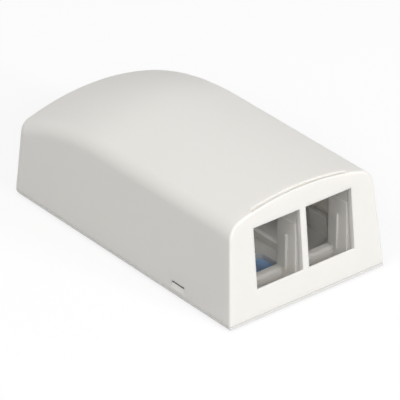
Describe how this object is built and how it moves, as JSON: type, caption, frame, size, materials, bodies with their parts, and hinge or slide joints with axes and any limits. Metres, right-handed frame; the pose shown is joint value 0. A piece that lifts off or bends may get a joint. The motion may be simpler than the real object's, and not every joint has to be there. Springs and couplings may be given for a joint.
{
  "type": "surface mount jack box",
  "caption": "Low surface mount jack box: an arched lift-off cover with jack ports in its front wall, over a base plate with jack bays, cable window, screw holes and an adhesive foam pad.",
  "frame": {"origin": "middle of the footprint, at the lowest face, where the box meets the wall or desk", "axes": "+Z away from the surface that the box is fixed to, -Y out of the jack ports, +X to the right when looking into the ports"},
  "size_m": [0.05, 0.0904, 0.0312],
  "materials": {
    "cover": "white ABS with a fine satin moulding texture",
    "base": "white ABS, satin",
    "adhesive_pad": "white closed-cell foam with adhesive on both faces",
    "release_liner": "blue siliconised film"
  },
  "bodies": {
    "base_unit": {"base": "base", "adhesive_pad": "adhesive_pad", "release_liner": "release_liner"},
    "cover": {"cover": "cover"}
  },
  "joints": [
    {"name": "cover_lift", "type": "slide", "parent": "base_unit", "child": "cover", "axis": [0, 0, 1], "range_m": [0, 0.035]}
  ]
}
